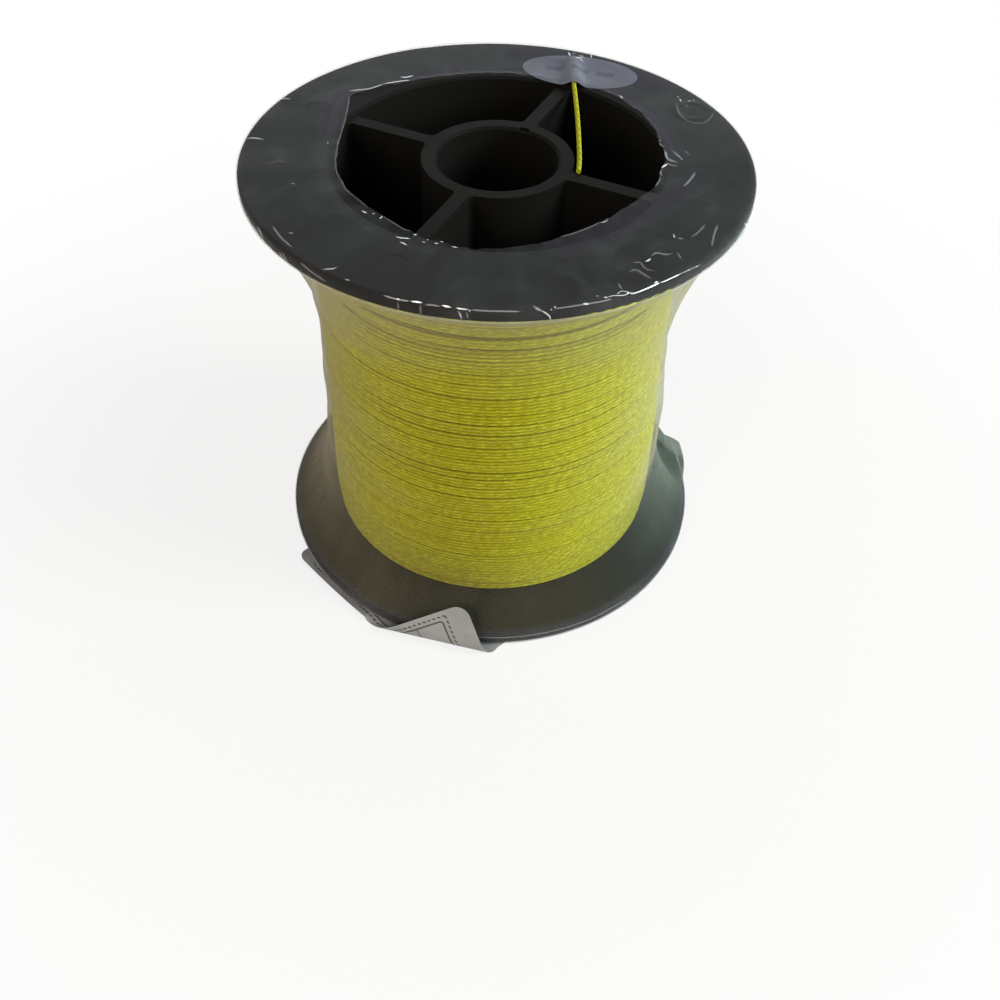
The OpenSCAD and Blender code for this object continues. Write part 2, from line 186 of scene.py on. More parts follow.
class NodeBuilder:
    def __init__(self, tree):
        self.tree = tree

    def plug(self, source, target):
        if isinstance(source, bpy.types.NodeSocket):
            self.tree.links.new(source, target)
        else:
            target.default_value = source

    def make(self, kind, *inOrder, **named):     # capitals name sockets, small letters name settings
        made = self.tree.nodes.new("ShaderNode" + kind)
        for key, value in named.items():
            if key[0].islower():
                setattr(made, key, value)
            else:
                self.plug(value, made.inputs[key.replace("_", " ")])
        for source, target in zip(inOrder, made.inputs):
            self.plug(source, target)
        return made.outputs

    def math(self, operation, a, b=0.0, clampIt=False):
        return self.make("Math", a, b, operation=operation, use_clamp=clampIt)[0]

    def plus(self, a, b):
        return self.math("ADD", a, b)

    def minus(self, a, b):
        return self.math("SUBTRACT", a, b)

    def times(self, a, b):
        return self.math("MULTIPLY", a, b)

    def most(self, a, b):
        return self.math("MAXIMUM", a, b)

    def absolute(self, a):
        return self.math("ABSOLUTE", a)

    def mix(self, amount, a, b):     # of two colours
        node = self.tree.nodes.new("ShaderNodeMix")
        node.data_type = "RGBA"
        for source, target in zip((amount, a, b), (node.inputs["Factor"], *node.inputs[6:8])):
            self.plug(source, target)
        return node.outputs[2]

    def blend(self, amount, a, b):     # of two shaders
        return self.make("MixShader", amount, a, b)[0]

    def span(self, value, a, b, c=0.0, d=1.0):
        return self.make("MapRange", value, a, b, c, d, interpolation_type="SMOOTHSTEP")[0]

    def noise(self, vector, scale, detail=3.0, roughness=0.5, distortion=0.0):
        return self.make("TexNoise", Vector=vector, Scale=scale, Detail=detail, Roughness=roughness,
                         Distortion=distortion)["Fac"]

    def mapping(self, vector, scale, location=(0, 0, 0), rotation=(0, 0, 0)):
        return self.make("Mapping", vector, location, rotation, scale)[0]

    def coords(self, kind="Object"):
        return self.make("TexCoord")[kind]

    def split(self, vector):
        return self.make("SeparateXYZ", vector)

    def relief(self, height, strength, distance):
        return self.make("Bump", Height=height, Strength=strength, Distance=distance)[0]

    def use(self, group, **values):
        return self.make("Group", node_tree=group, **values)


def newMaterial(name):
    material = bpy.data.materials.new(name)
    material.use_nodes = True
    material.node_tree.nodes.clear()
    surface = material.node_tree.nodes.new("ShaderNodeOutputMaterial").inputs["Surface"]
    return material, NodeBuilder(material.node_tree), surface


def newGroup(name, vector, gives, **factors):     # takes one vector and the named factors
    tree = bpy.data.node_groups.new(name, "ShaderNodeTree")
    tree.interface.new_socket(vector, in_out="INPUT", socket_type="NodeSocketVector")
    for label, value in factors.items():
        socket = tree.interface.new_socket(label, in_out="INPUT", socket_type="NodeSocketFloat")
        socket.default_value = value
    for label in gives:
        tree.interface.new_socket(label, in_out="OUTPUT", socket_type="NodeSocketFloat")
    return (tree, NodeBuilder(tree), tree.nodes.new("NodeGroupInput").outputs,
            tree.nodes.new("NodeGroupOutput").inputs)


# camera

cameraView = {
    "location": (-0.04794, -0.13172, 0.1473),
    "degrees": (42.809, -1.178, -19.492),
    "lens": 37.367,
    "nearest": 0.01,
}

camera = addNew(bpy.ops.object.camera_add, "camera", location=cameraView["location"],
                rotation=[radians(a) for a in cameraView["degrees"]])
camera.data.lens = cameraView["lens"]
camera.data.clip_start = cameraView["nearest"]
scene.camera = camera
print("camera placed")


# braided line: a tube whose carriers stand out a little

def smoothRoute(points, steps):     # through every point
    route = []
    for i in range(len(points) - 1):
        a, b = points[max(i - 1, 0)], points[i]
        c, d = points[i + 1], points[min(i + 2, len(points) - 1)]
        for k in range(steps):
            t = k / steps
            route.append((2 * b + (c - a) * t + (2 * a - 5 * b + 4 * c - d) * t * t
                          + (3 * b - a - 3 * c + d) * t ** 3) / 2)
    return route + [points[-1]]


def lineTube(name, middles, outs, radius, sides, relief, beadLength):
    # middles: ring centres; outs: where side 0 points at each ring, or None to carry it along
    # relief: how far the crossing carriers of the braid stand out; beads repeat along the line
    verts, faces, corners = [], [], []
    last = len(middles) - 1
    along, out = 0.0, Vector((0, 0, 1))
    rows = []
    for i, middle in enumerate(middles):
        heading = (middles[min(i + 1, last)] - middles[max(i - 1, 0)]).normalized()
        out = outs[i] if outs else out
        out = (out - out.dot(heading) * heading).normalized()
        side = heading.cross(out)
        along += (middle - middles[i - 1]).length if i else 0.0
        rows.append(along / beadLength)
        for k in range(sides):
            angle = 2 * pi * k / sides
            lift = 0.0
            if relief:
                ahead = pi * along / beadLength
                lift = relief * max(abs(sin(ahead + 2 * angle)), abs(sin(ahead - 2 * angle))) - relief * 0.6
            verts.append(middle + (radius + lift) * (cos(angle) * out + sin(angle) * side))
    for i in range(last):
        for k in range(sides):
            a, b = i * sides + k, i * sides + (k + 1) % sides
            faces.append((a, b, b + sides, a + sides))
            corners += [(rows[i], k / sides), (rows[i], (k + 1) / sides),
                        (rows[i + 1], (k + 1) / sides), (rows[i + 1], k / sides)]
    for base, order in ((0, range(sides - 1, -1, -1)), (last * sides, range(sides))):
        faces.append([base + k for k in order])
        corners += [(rows[0 if base == 0 else last], k / sides) for k in order]
    obj = linkMesh(name, verts, [], faces)
    uvs = obj.data.uv_layers.new(name="alongLine")
    for loop, uv in zip(uvs.data, corners):
        loop.uv = uv
    smooth(obj, 60)
    return obj


# free end of the line

lineTail = {
    "route": [
        (27.1, 6.3, 66.0), (26.6, 9.4, 66.0), (25.7, 12.9, 66.1), (24.6, 16.2, 66.3),
        (23.2, 19.4, 66.6), (21.8, 21.9, 67.2), (21.2, 22.9, 68.2), (21.0, 23.0, 69.3),
        (20.8, 22.5, 70.5), (20.4, 21.3, 70.85), (19.7, 19.2, 70.85), (19.0, 17.2, 70.85),
        (18.1, 14.5, 70.7), (17.0, 11.2, 70.4), (15.8, 7.7, 70.1), (14.5, 4.2, 70.0),
        (13.2, 0.8, 70.0), (11.9, -2.5, 70.1), (10.7, -5.4, 70.2), (9.5, -8.0, 70.3),
    ],
    "diameter": 0.72,
    "sides": 16,
    "steps": 24,
    "relief": 0.045,
    "beadLength": 1.9,
}

tailRoute = smoothRoute([Vector(p) for p in lineTail["route"]], lineTail["steps"])
tail = lineTube("line_free_end", tailRoute, None, lineTail["diameter"] / 2 - 0.018, lineTail["sides"],
                lineTail["relief"], lineTail["beadLength"])


# wound line

winding = {
    "lowZ": 4.55, "highZ": 66.0,
    "turns": 93,
    "ringsPerTurn": 96,
    "sides": 8,
    # height, radius to the middle of the line
    "pack": [(3.6, 28.3), (4.6, 28.72), (9, 28.92), (16, 28.8), (25, 28.55), (36, 28.2), (48, 28.14), (67, 28.14)],
    "lean": 0.22, "leanTo": -20, "leanHeights": (42, 16),     # the pack is fuller to one side low down
    "lineRadius": 0.322,
    "endAngle": 13.1,         # degrees, where the free end starts
    "endRadius": 27.82,
    "wander": 0.05,
    "grooveReach": 3.4, "dipReach": 0.9, "dipShare": 0.4, "deepestDip": 0.34,
    # height, gap, middle and half-width of its arc in degrees
    "grooves": [
        (58.3, 0.7, -104, 56), (56.4, 0.95, -110, 62), (60.6, 0.12, -118, 50), (63.6, 0.12, -110, 80),
        (54.9, 0.1, -125, 50), (52.4, 0.14, -110, 60), (50.2, 0.1, -80, 60),
        (47.8, 0.18, -130, 75), (44.6, 0.1, -100, 60), (42.5, 0.2, -120, 85), (40.6, 0.18, -115, 80),
        (37.6, 0.2, -120, 90), (35.2, 0.08, -90, 60), (32.6, 0.2, -115, 85), (31.2, 0.16, -120, 60),
        (29.4, 0.1, -125, 85), (27.3, 0.2, -105, 90), (24.0, 0.1, -135, 55), (22.0, 0.1, -115, 80),
        (19.0, 0.17, -120, 85), (16.4, 0.1, -95, 55), (13.2, 0.18, -120, 95), (9.2, 0.1, -90, 70),
        (5.7, 0.26, -110, 130),
        (50.0, 0.25, 70, 80), (33.0, 0.3, 95, 90), (18.0, 0.25, 60, 90), (58.0, 0.3, 80, 70),
    ],
}
windingPitch = (winding["highZ"] - winding["lowZ"]) / winding["turns"]


def packRadius(z, degrees):     # to the middle of the outermost turns
    lean = winding["lean"] * cos(radians(degrees - winding["leanTo"]))
    return knotCurve(winding["pack"], z) + lean * smoothStep(*winding["leanHeights"], z)


def grooveShift(z, degrees):     # how far the grooves push a turn up or down, and in
    shift, dip = 0.0, 0.0
    for height, gap, middle, halfWidth in winding["grooves"]:
        size = gap * smoothStep(1.0, 0.55, abs(turnBetween(degrees, middle)) / halfWidth)
        if size:
            d = z - height
            shift += (size / 2 if d > 0 else -size / 2) * exp(-abs(d) / winding["grooveReach"])
            dip += min(winding["dipShare"] * size, winding["deepestDip"]) * bump(z, height, winding["dipReach"])
    return shift, dip


def windLayer(name, layer, place):     # place gives angle, radius and height after so many turns
    middles, outs = [], []
    for i in range(layer["turns"] * layer["ringsPerTurn"] + 1):
        a, r, z = place(i / layer["ringsPerTurn"])
        outs.append(Vector((cos(a), sin(a), 0)))
        middles.append(r * outs[-1] + Vector((0, 0, z)))
    return lineTube(name, middles, outs, layer["lineRadius"], layer["sides"], 0, lineTail["beadLength"])


def outerTurn(turn):
    degrees = winding["endAngle"] + (turn - winding["turns"]) * 360
    a = radians(degrees)
    z = winding["lowZ"] + windingPitch * turn
    shift, dip = grooveShift(z, degrees)
    last = smoothStep(winding["turns"] - 1.4, winding["turns"], turn)
    hold = smoothStep(0, 0.6, turn) * smoothStep(winding["turns"], winding["turns"] - 0.6, turn)
    z += hold * (shift + winding["wander"] * 1.4 * fuzz(1.1 * cos(a), 1.1 * sin(a), 0.31 * turn))
    r = packRadius(z, degrees) - hold * dip
    r += last * (winding["endRadius"] - r)
    r += hold * winding["wander"] * fuzz(1.7 * cos(a) + 9, 1.7 * sin(a), 0.9 * turn)
    return a, r, z


buried = {
    "depth": 0.66, "turns": 58, "ringsPerTurn": 60, "sides": 6, "lowZ": 4.9, "highZ": 65.6,
    "lineRadius": 0.5, "startAngle": 1.3, "wander": 0.06,
}


def buriedTurn(turn):     # the layer below, seen between the turns
    a = -2 * pi * turn + buried["startAngle"]
    z = buried["lowZ"] + (buried["highZ"] - buried["lowZ"]) * turn / buried["turns"]
    r = packRadius(z, a * 180 / pi) - buried["depth"] + buried["wander"] * fuzz(2 * cos(a), 2 * sin(a), turn)
    return a, r, z


wound = windLayer("wound_line", winding, outerTurn)
buriedLine = windLayer("buried_line", buried, buriedTurn)
print("line wound:", winding["turns"], "turns")


# starting tape, under the line

startingTape = {
    "radius": 26.18, "low": 3.5, "width": 12, "from": 10, "length": 25, "thickness": 0.1,
    "rows": 25, "steps": 60, "crepeDepth": 0.02, "crepeWaves": 95,
}


def makeTape():
    rows, r = startingTape["rows"], startingTape["radius"]
    edge = [(r, 0, startingTape["low"] + startingTape["width"] * k / (rows - 1)) for k in range(rows)]
    obj = linkMesh("starting_strip", edge, [(k, k + 1) for k in range(rows - 1)], [])
    editMode(obj)
    bpy.ops.mesh.spin(steps=startingTape["steps"], angle=startingTape["length"] / r,
                      center=(0, 0, 0), axis=(0, 0, 1))
    objectMode()
    faceOutwards(obj)
    obj.rotation_euler.z = radians(startingTape["from"])
    settle(obj)
    for v in obj.data.vertices:
        a = atan2(v.co.y, v.co.x)
        push = startingTape["crepeDepth"] * mm * sin(
            startingTape["crepeWaves"] * a + 3 * fuzz(v.co.z * 300, a * 9, 0))
        v.co.x += push * cos(a)
        v.co.y += push * sin(a)
    thicken(obj, startingTape["thickness"])
    smooth(obj, 40)
    return obj


strip = makeTape()


# clear wrap

film = {
    "steps": 440,
    "thickness": 0.12,
    "gap": 0.17,                # from the flanges
    "flangeR": 37.5, "flangeT": 2, "rimRound": 0.5,
    "mouthR": 24.75,
    "topRings": 24, "tentRings": 50, "lapRings": 5,
    # outer radius at each height
    "side": [(4.3, 35.25), (7.3, 33.05), (11.0, 31.2), (16.6, 29.95), (24.2, 29.4), (31.6, 28.95),
             (39.2, 28.8), (44.8, 28.75), (50.4, 29.1), (54.2, 29.95), (57.9, 31.2), (61.6, 32.8),
             (64.6, 34.35), (66.9, 35.9)],
    # distance of the torn edge outside the drum's mouth
    "opening": [(3.5, 0.5), (17, 0.95), (24, 1.35), (33, 1.1), (46, 0.8), (62, 0.6), (80, 0.5), (96, 0.9),
                (103.5, 1.4), (112, 2.4), (121.5, 3.5), (125, 3.5), (131.5, 1.65), (139, 0.0), (150, -1.05),
                (162, -1.4), (178, -1.1), (200, -1.3), (212, -1.3), (222, -0.6), (233, 0.0), (245, 0.3),
                (256, -0.2), (271, -1.25), (287, -1.9), (300, -2.1), (311, -1.6), (320, -0.9), (331, -0.95),
                (338, -0.2), (344, -0.05), (349, -0.45), (356.5, 0.1)],
    "lowerTurn": 100,               # the lower opening is the same one, turned
    "curlReach": 0.7,               # of the torn edge
    "bridge": (0.9, 1.5),           # how high and wide it stands over the line on the flange
    "bubble": (33.3, 5.0, 2.7),     # radius and angle of its middle, its own radius
    # height, half height, degrees, half width, how far it stands out
    "bulges": [(27, 8, -28, 24, 0.9), (55, 8, -48, 24, 0.8)],
    # a pocket of loose film at the low rim: its middle and half width in degrees, its outline
    "ear": {"degrees": -14.5, "half": 6.5, "fade": (13.4, 12.0), "side": [
        (2.0, 37.55), (6.0, 37.2), (7.7, 36.8), (8.4, 36.2), (8.8, 34.9), (9.5, 34.0), (11.2, 32.8), (13.4, 31.6)]},
    # the ear's tint is a dark grey-green: painted shade on the pocket and the low film beside it
    "bandTint": (0.42, 0.43, 0.58, 1), "hemTint": (0.42, 0.47, 0.49, 1), "earPaintedShade": (0.165, 0.20, 0.185, 1),
    # half width, strength, then (degrees, radius) along a misty band of the top
    "mist": [
        (1.7, 0.09, (122.8, 29.0), (128.0, 28.8), (134.8, 27.6), (142.0, 26.2), (148.8, 25.5)),
        (2.4, 0.06, (-89.2, 25.5), (-76.4, 24.9), (-58.4, 24.9), (-46.0, 26.7), (-31.2, 29.4)),
        (1.3, 0.10, (47.2, 25.5), (32.4, 26.4), (19.2, 26.6), (6.0, 26.8), (-8.8, 25.9), (-19.2, 26.1)),
        (0.8, 0.03, (148.0, 26.9), (167.2, 26.0), (185.6, 26.2), (202.4, 26.5), (219.2, 26.9), (231.6, 27.1)),
        (1.2, 0.07, (99.2, 27.9), (80.4, 26.9), (62.8, 27.2)),
        # this wide faint band at the back right is a painted sheen
        (4.5, 0.05, (64, 32.5), (50, 33), (36, 33), (22, 32.5)),
    ],
}


def filmProfile():     # (radius, height, zone, share of that zone) from the opening to the lower lap
    flat, thick = film["flangeR"] - film["rimRound"], film["flangeT"]
    round1 = film["rimRound"] + film["gap"]
    rows = [(0, topZ + film["gap"], "top", i / film["topRings"]) for i in range(film["topRings"])]

    def roundEdge(middleZ, angles, zone, share):
        for a in angles:
            rows.append((flat + round1 * cos(radians(a)), middleZ + round1 * sin(radians(a)), zone, share))

    roundEdge(topZ - film["rimRound"], (90, 66, 42, 18, 0), "rim", 0)
    roundEdge(topZ - thick + film["rimRound"], (0, -25, -50), "rim", 1)
    leaves = round1 * sin(radians(50))
    start, end = baseZ + thick - film["rimRound"] + leaves, topZ - thick + film["rimRound"] - leaves
    rimR = flat + round1 * cos(radians(50))
    sideKnots = [(start, rimR)] + film["side"] + [(end, rimR)]
    for i in range(1, film["tentRings"]):
        t = i / film["tentRings"]
        t = t - 0.06 * sin(2 * pi * t)     # rings closer near both flanges
        z = end + (start - end) * t
        rows.append((knotCurve(sideKnots, z), z, "tent", t))
    roundEdge(baseZ + thick - film["rimRound"], (50, 25, 0), "lowRim", 0)
    roundEdge(baseZ + film["rimRound"], (0, -30, -60, -90), "lowRim", 1)
    rows += [(0, baseZ - film["gap"], "lap", (i + 1) / film["lapRings"]) for i in range(film["lapRings"])]
    return rows


def earShare(degrees, z):     # 1 in the middle of the pocket, 0 outside it
    ear = film["ear"]
    away = abs(turnBetween(degrees, ear["degrees"]))
    return smoothStep(1.0, 0.52, away / ear["half"]) * smoothStep(*ear["fade"], z)


def shapeFilm(row, a):     # one point of the film's middle surface
    r, z, zone, t = row
    degrees = a * 180 / pi
    flat = film["flangeR"] - film["rimRound"]
    ca, sa = cos(a), sin(a)
    if zone == "top":
        edge = film["mouthR"] + roundKnots(film["opening"], degrees)
        edge += 0.25 * fuzz(14 * ca, 14 * sa, 3) + 0.14 * fuzz(45 * ca, 45 * sa, 8)
        share = t ** 1.25
        r = edge + (flat - edge) * share
        curl = 0.16 + 0.22 * fuzz(10 * ca, 10 * sa, 1) + 0.1 * fuzz(40 * ca, 40 * sa, 5)
        curl = exp(-((r - edge) / film["curlReach"])) * curl
        ripples = 0.05 * fuzz(r * 0.35 * ca * 1.4, r * 0.35 * sa * 1.4, 4)
        x, y = r * ca, r * sa
        br, ba, size = film["bubble"]
        d = hypot(x - br * cos(radians(ba)), y - br * sin(radians(ba)))
        lift = ridgeLift(x, y, *film["bridge"])
        z += max(curl, 0) * (1 - lift) + max(ripples, 0) + lift
        z += 0.16 * bump(d, size, 0.45) + 0.05 * bump(d, 0.9, 0.8)
    elif zone == "lap":
        edge = film["mouthR"] + roundKnots(film["opening"], degrees - film["lowerTurn"])
        r = flat + (edge - flat) * t
    elif zone in ("rim", "lowRim"):
        pleats = fuzz(30 * ca, 30 * sa, 2 + t) * 0.06 + fuzz(75 * ca, 75 * sa, 6) * 0.04
        r += max(pleats, -0.02)
    else:
        high = smoothStep(0.22, 0.0, t)
        low = smoothStep(0.8, 1.0, t)
        middle = smoothStep(0.12, 0.3, t) * smoothStep(0.92, 0.7, t)
        r += middle * (0.42 * fuzz(2.1 * ca, 2.1 * sa, z / 5.2) + 0.05 * fuzz(6 * ca, 6 * sa, z / 4))
        r += (high + low) * (0.1 * fuzz(24 * ca, 24 * sa, z * 0.12) + 0.1 * fuzz(9 * ca, 9 * sa, z * 0.2))
        for height, halfHeight, middle, halfWidth, size in film["bulges"]:
            r += size * bump(z, height, halfHeight) * bump(turnBetween(degrees, middle), 0, halfWidth)
        r += earShare(degrees, z) * max(knotCurve(film["ear"]["side"], z) - r, 0)
        r -= film["thickness"] / 2
        r = max(r, packRadius(z, degrees) + 0.5)
    return Vector((r * ca, r * sa, z))


ridge = {"from": (21.65, 24.85), "to": (18.65, 16.05), "endReach": 0.55}     # line on the flange's face


def ridgeLift(x, y, top, width):     # height over the flange's face where sheets bridge the line
    ax, ay = ridge["from"]
    bx, by = ridge["to"]
    ux, uy = bx - ax, by - ay
    length = hypot(ux, uy)
    ux, uy = ux / length, uy / length
    s = (x - ax) * ux + (y - ay) * uy
    side = abs((y - ay) * ux - (x - ax) * uy)
    over = max(-s, 0, s - length)
    return top * exp(-(side / width) ** 2.6) * bump(over, 0, ridge["endReach"])


mistLines = [(half, strength, smoothRoute([polar(*p) for p in route], 4))
             for half, strength, *route in film["mist"]]


def mistAt(point):     # strength of the misty bands at a point of the top
    flat, most = Vector((point.x, point.y, 0)), 0.0
    for half, strength, line in mistLines:
        near = min((flat - p).length for p in line) / half
        most = max(most, strength * smoothStep(1.3, 0.0, near))
    return most


def filmPlace(rows, degrees, station):     # point on the sheet, and which way is out
    i = min(int(station), len(rows) - 2)
    a = radians(degrees)
    here = shapeFilm(rows[i], a).lerp(shapeFilm(rows[i + 1], a), station - i)
    beside = shapeFilm(rows[i], a + 0.02).lerp(shapeFilm(rows[i + 1], a + 0.02), station - i)
    down = shapeFilm(rows[i + 1], a) - shapeFilm(rows[i], a)
    return here, down.cross(beside - here).normalized()


# width, strength of the pleat's opaque white painted highlight and its extra gloss, then degrees and row of the
# film's profile, point by point along each pleat
pleats = [
    (0.22, 1, 104.4, 6.2, 102.8, 5.2, 101.2, 5.2, 100, 5.2),
    (0.38, 0.4, 122.8, 5.4, 120.4, 3.2, 117.6, 1.2, 114.8, 1, 111.6, 2.2),
    (0.18, 1, 111.6, 2.2, 108, 2.6, 105.6, 1.6, 103.2, 0.8),
    (0.25, 0.05, 125.2, 1.6, 131.6, 0, 139.2, 0, 150, 0, 159.2, 0.2, 167.6, 0, 175.6, 0),
    (0.28, 0.07, 175.6, 0, 180, 0, -176.4, 0, -172, 0.4, -167.6, 0.2, -162.4, 0, -157.6, 0.6),
    (0.27, 1, -158, 3.2, -155.6, 3.2), (0.3, 0.5, -154.4, 2.2, -153.6, 1.2), (0.25, 1, -150.4, 2.2, -150.8, 0),
    (0.17, 0.15, -150.4, 0.2, -147.2, 0, -143.6, 0.4, -140.4, 0.4, -137.6, 0),
    (0.18, 1, -140.4, 5.4, -138.8, 5.2, -137.6, 4.6, -136, 3.8), (0.18, 0.9, -138, 7, -136.8, 6.8, -135.2, 7),
    (0.25, 1, -136.4, 1.4, -135.2, 0.4), (0.2, 0.8, -132.4, 2.6, -131.2, 2.2), (0.15, 0.8, -131.6, 0.2, -130.8, 0),
    (0.18, 1, -128.8, 2, -127.2, 1.8), (0.15, 0.8, -127.2, 0, -126, 0), (0.18, 1, -123.2, 1, -121.2, 1.2),
    (0.2, 0.35, -131.6, 26, -130, 26.2, -128, 26.2, -126, 25.8), (0.22, 1, -128.8, 26, -128, 26),
    (0.18, 1, -126, 25.8, -124.8, 25.6, -123.6, 25.6), (0.2, 0.3, -123.2, 26.2, -121.6, 25.8, -120, 26),
    (0.22, 1, -120, 25.4, -119.2, 25.6, -118, 25.8), (0.18, 1, -117.2, 25.8, -116, 26, -114.8, 26),
    (0.18, 0.8, -114.8, 26.2, -114.4, 26.8), (0.18, 0.3, -114.4, 26, -111.6, 26.2, -108.8, 26.2, -105.2, 26.4),
    (0.26, 0.5, -116.8, 26.8, -116.4, 28.2, -116, 29), (0.3, 0.16, -128.4, 26.8, -128.4, 30),
    (0.3, 0.2, -124, 26.2, -124, 30.8), (0.3, 0.2, -115.2, 27, -114.8, 28.8),
    (0.35, 0.35, -102.8, 23.8, -102, 25.6, -100.8, 27),
    (0.18, 0.8, -101.2, 26.6, -100.4, 28, -99.6, 28.6, -99.6, 29.4), (0.25, 0.8, -98.8, 25.4, -98.4, 25.6),
    (0.3, 0.35, -99.6, 26.4, -99.2, 26.4), (0.31, 1, -93.2, 25.6, -92, 26.2),
    (0.18, 0.25, -98.8, 26.2, -94.8, 26, -89.6, 26, -87.2, 26), (0.2, 1, -88.8, 24.4, -88, 25),
    (0.11, 0.8, -88, 24.8, -86.8, 24.8, -85.6, 25.4, -84.4, 25.8, -83.6, 25.2, -84, 24.4, -84.8, 23.8, -86, 24.6),
    (0.18, 1, -83.6, 25, -82.8, 26, -81.2, 26, -79.2, 25.8, -77.6, 25.6, -76.4, 25.6),
    (0.15, 0.6, -76.4, 25.6, -75.2, 25.6, -73.2, 25.6, -71.2, 25.6),
    (0.19, 0.18, -71.2, 25.6, -68.4, 25.8, -65.2, 26.4), (0.18, 0.7, -77.6, 25, -76.8, 24.6, -76.4, 25.4),
    (0.3, 0.3, -90, 23.4, -89.6, 23.8), (0.33, 1, -74.4, 18.4, -73.6, 18.4, -72.4, 18.2),
    (0.27, 0.7, -60.8, 15.8, -62, 16.8), (0.3, 0.35, -61.6, 17.2, -60.8, 18.2),
    (0.3, 0.18, -50.8, 20.8, -55.2, 21.8, -59.2, 23.4), (0.3, 0.15, -52.4, 18.8, -56.8, 19, -59.2, 18.8),
    (0.35, 0.2, -72, 17.8, -70, 17.6, -68.8, 19, -67.2, 19.6), (0.3, 0.15, -66, 19.8, -67.6, 22),
    (0.35, 0.16, -80, 19.4, -78, 19.6, -77.6, 21.6, -77.2, 23.2), (0.35, 0.2, -84, 21.4, -84.4, 23.4),
    (0.3, 0.14, -77.2, 17.4, -75.6, 18, -76, 20.2, -74.8, 21.6), (0.3, 0.6, -46.4, 26.4, -44.8, 28.6),
    (0.3, 0.3, -44.4, 29.4, -46.4, 30, -50.8, 29.8), (0.22, 0.12, -88.8, 0, -85.2, 0, -80, 0, -76, 0, -72.4, 0),
    (0.22, 0.45, -72.8, 0, -71.2, 1, -69.2, 0.8), (0.38, 0.55, 24.4, 1.6, 23.2, 2, 22, 0),
    (0.22, 0.14, -34.4, 0.4, -37.6, 0, -41.6, 0), (0.22, 0.4, -9.6, 0, -10, 1.4),
    (0.22, 0.2, -10.8, 0, -12.8, 0, -13.6, 2), (0.36, 1, -28.8, 0, -26.4, 0.8, -24.8, 2),
    (0.15, 0.35, -24.8, 1.4, -26, 3.8, -25.6, 5.2), (0.35, 0.2, -30, 0, -33.2, 0.8, -33.2, 2),
    (0.4, 0.3, -16, 0.6, -21.6, 0.2, -22.8, 3, -23.6, 5.2), (0.35, 0.22, -16, 3.6, -20, 5.2, -22.4, 6.6),
    (0.35, 0.08, -15.6, 7.6, -19.2, 8.4), (0.4, 0.2, -28.4, 10.8, -32.8, 10, -37.6, 8.4),
    (0.27, 0.9, 51.2, 22.2, 50, 19.6), (0.15, 0.7, 50, 21.4, 48.8, 27.4, 46.8, 27.6),
    (0.22, 0.9, 50.4, 17.8, 48.4, 19.4, 46, 20.4), (0.22, 1, 47.6, 16.2, 46.8, 17.8, 45.2, 17.6),
    (0.18, 0.8, 49.2, 16.2, 48.4, 18), (0.18, 0.7, 46.4, 24.8, 45.2, 23.2, 44.4, 21),
    (0.26, 0.6, 48, 21, 46.4, 21.2),
    (0.3, 0.05, 10.4, 15.8, 6.4, 13.6, 2, 13.2, -0.8, 14.8, -1.6, 17.2, -0.4, 19.6, 2, 22.2),
    (0.27, 0.9, 12.4, 18.4, 10.8, 17.8), (0.25, 0.8, 10.4, 19.8, 9.6, 20.2), (0.3, 0.5, 10.4, 21.4, 9.6, 21.4),
    (0.3, 0.4, 13.2, 18.2, 13.6, 19.2), (0.3, 0.15, 9.2, 17.6, 7.2, 17.6),
    (0.3, 0.4, 138, 25.8, 136, 23.8, 135.2, 21.4), (0.3, 0.5, 156.4, 24.6, 156, 23, 156, 22, 156.4, 20.4),
    (0.3, 0.25, 178.8, 14, 179.6, 12.8), (0.26, 0.4, -161.2, 21.2, -160, 20.6),
    (0.3, 0.45, -146, 24.8, -145.2, 23.6, -144.4, 23, -144, 22), (0.26, 0.5, -140.4, 24.6, -139.2, 24.2),
    (0.3, 0.3, 155.6, 4.6, 157.2, 4.2), (0.19, 0.5, -158.4, 28.2, -157.2, 28.8, -156, 29.6),
    (0.19, 0.4, -157.2, 27.6, -156, 28.6, -155.2, 29), (0.22, 0.4, -170.8, 28.4, -168.4, 28.4, -166.4, 28.6),
    (0.3, 0.35, -167.6, 26.4, -165.2, 27.8, -164.4, 28.6), (0.3, 0.2, -165.2, 22.6, -160.4, 23.2, -156, 23.4),
    (0.2, 0.2, -118, 82, -106, 82, -94, 82, -82, 82, -70, 82), (0.3, 0.2, -151.6, 26.4, -148, 28, -144.4, 28.4),
]


def pointValues(mesh, name, values, kind="FLOAT", field="value"):
    mesh.attributes.new(name, kind, "POINT").data.foreach_set(field, values)


